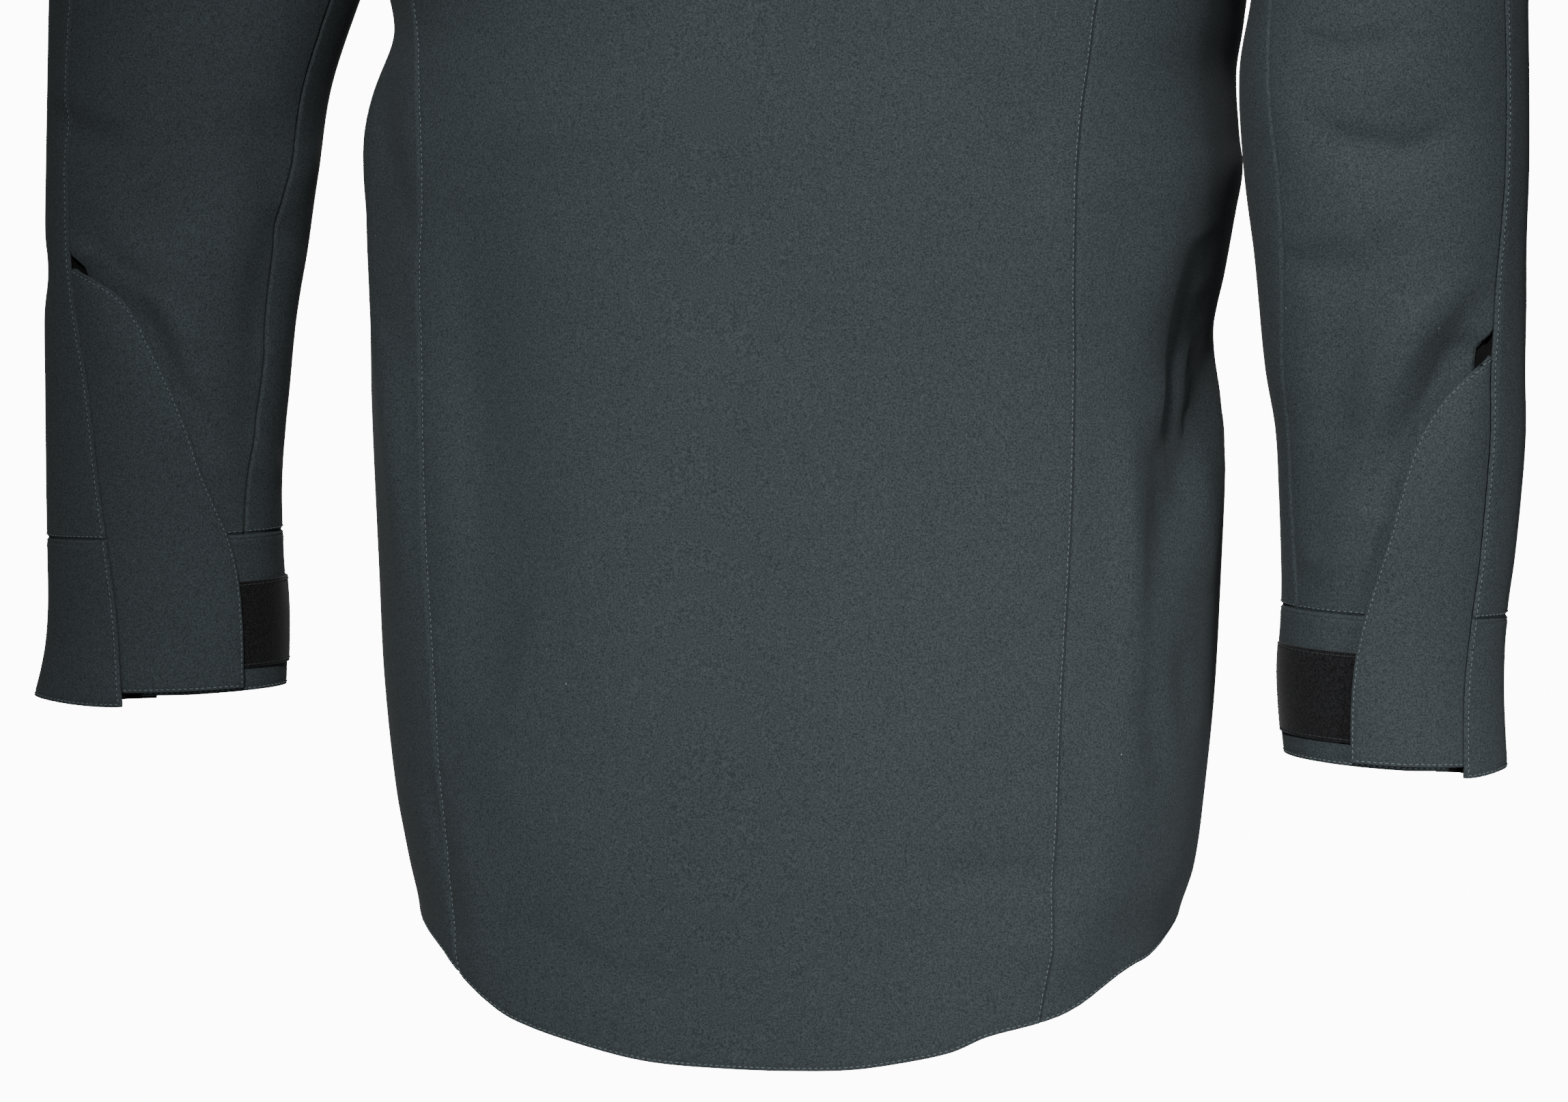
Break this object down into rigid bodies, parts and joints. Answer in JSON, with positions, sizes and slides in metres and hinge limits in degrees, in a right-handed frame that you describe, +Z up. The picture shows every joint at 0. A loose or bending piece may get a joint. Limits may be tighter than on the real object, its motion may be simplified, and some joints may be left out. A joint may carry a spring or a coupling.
{
  "type": "stab-resistant jacket",
  "caption": "Long zip-front protective jacket as worn, with a dropped rounded tail, two-piece sleeves and vented cuffs under tapered flaps.",
  "frame": {"origin": "centre of the neck opening, midway between the neck points of the shoulder seams, where the wearer's neck and shoulders carry the jacket", "axes": "+Z up; the front faces -Y; +X is the wearer's left"},
  "size_m": [0.8565, 0.2907, 0.8945],
  "materials": {
    "jacket_softshell": "matt woven",
    "black_mesh": "matt knitted mesh",
    "loop_tape": "matt pile",
    "zip_tape": "matt woven",
    "zip_chain": "satin",
    "zip_metal": "satin dark metal"
  },
  "bodies": {
    "garment": {"back_panel": "jacket_softshell", "collar": "jacket_softshell", "front_panel_left": "jacket_softshell", "front_panel_right": "jacket_softshell", "side_panel_left": "jacket_softshell", "side_panel_right": "jacket_softshell", "sleeve_front_left": "jacket_softshell", "sleeve_front_right": "jacket_softshell", "sleeve_back_left": "jacket_softshell", "sleeve_back_right": "jacket_softshell", "cuff_band_left": "jacket_softshell", "cuff_band_right": "jacket_softshell", "cuff_flap_left": "jacket_softshell", "cuff_flap_right": "jacket_softshell", "loop_patch_left": "loop_tape", "vent_gusset_left": "black_mesh", "zip_tape_left": "zip_tape", "loop_patch_right": "loop_tape", "vent_gusset_right": "black_mesh", "zip_tape_right": "zip_tape", "zip_chain": "zip_chain", "zip_slider": "zip_metal"},
    "pull": {"zip_pull": "zip_metal"}
  },
  "joints": [
    {"name": "pull_hinge", "type": "hinge", "parent": "garment", "child": "pull", "pos_m": [0, -0.08531, -0.04008], "axis": [-1, 0, 0], "range_deg": [0, 150]}
  ]
}
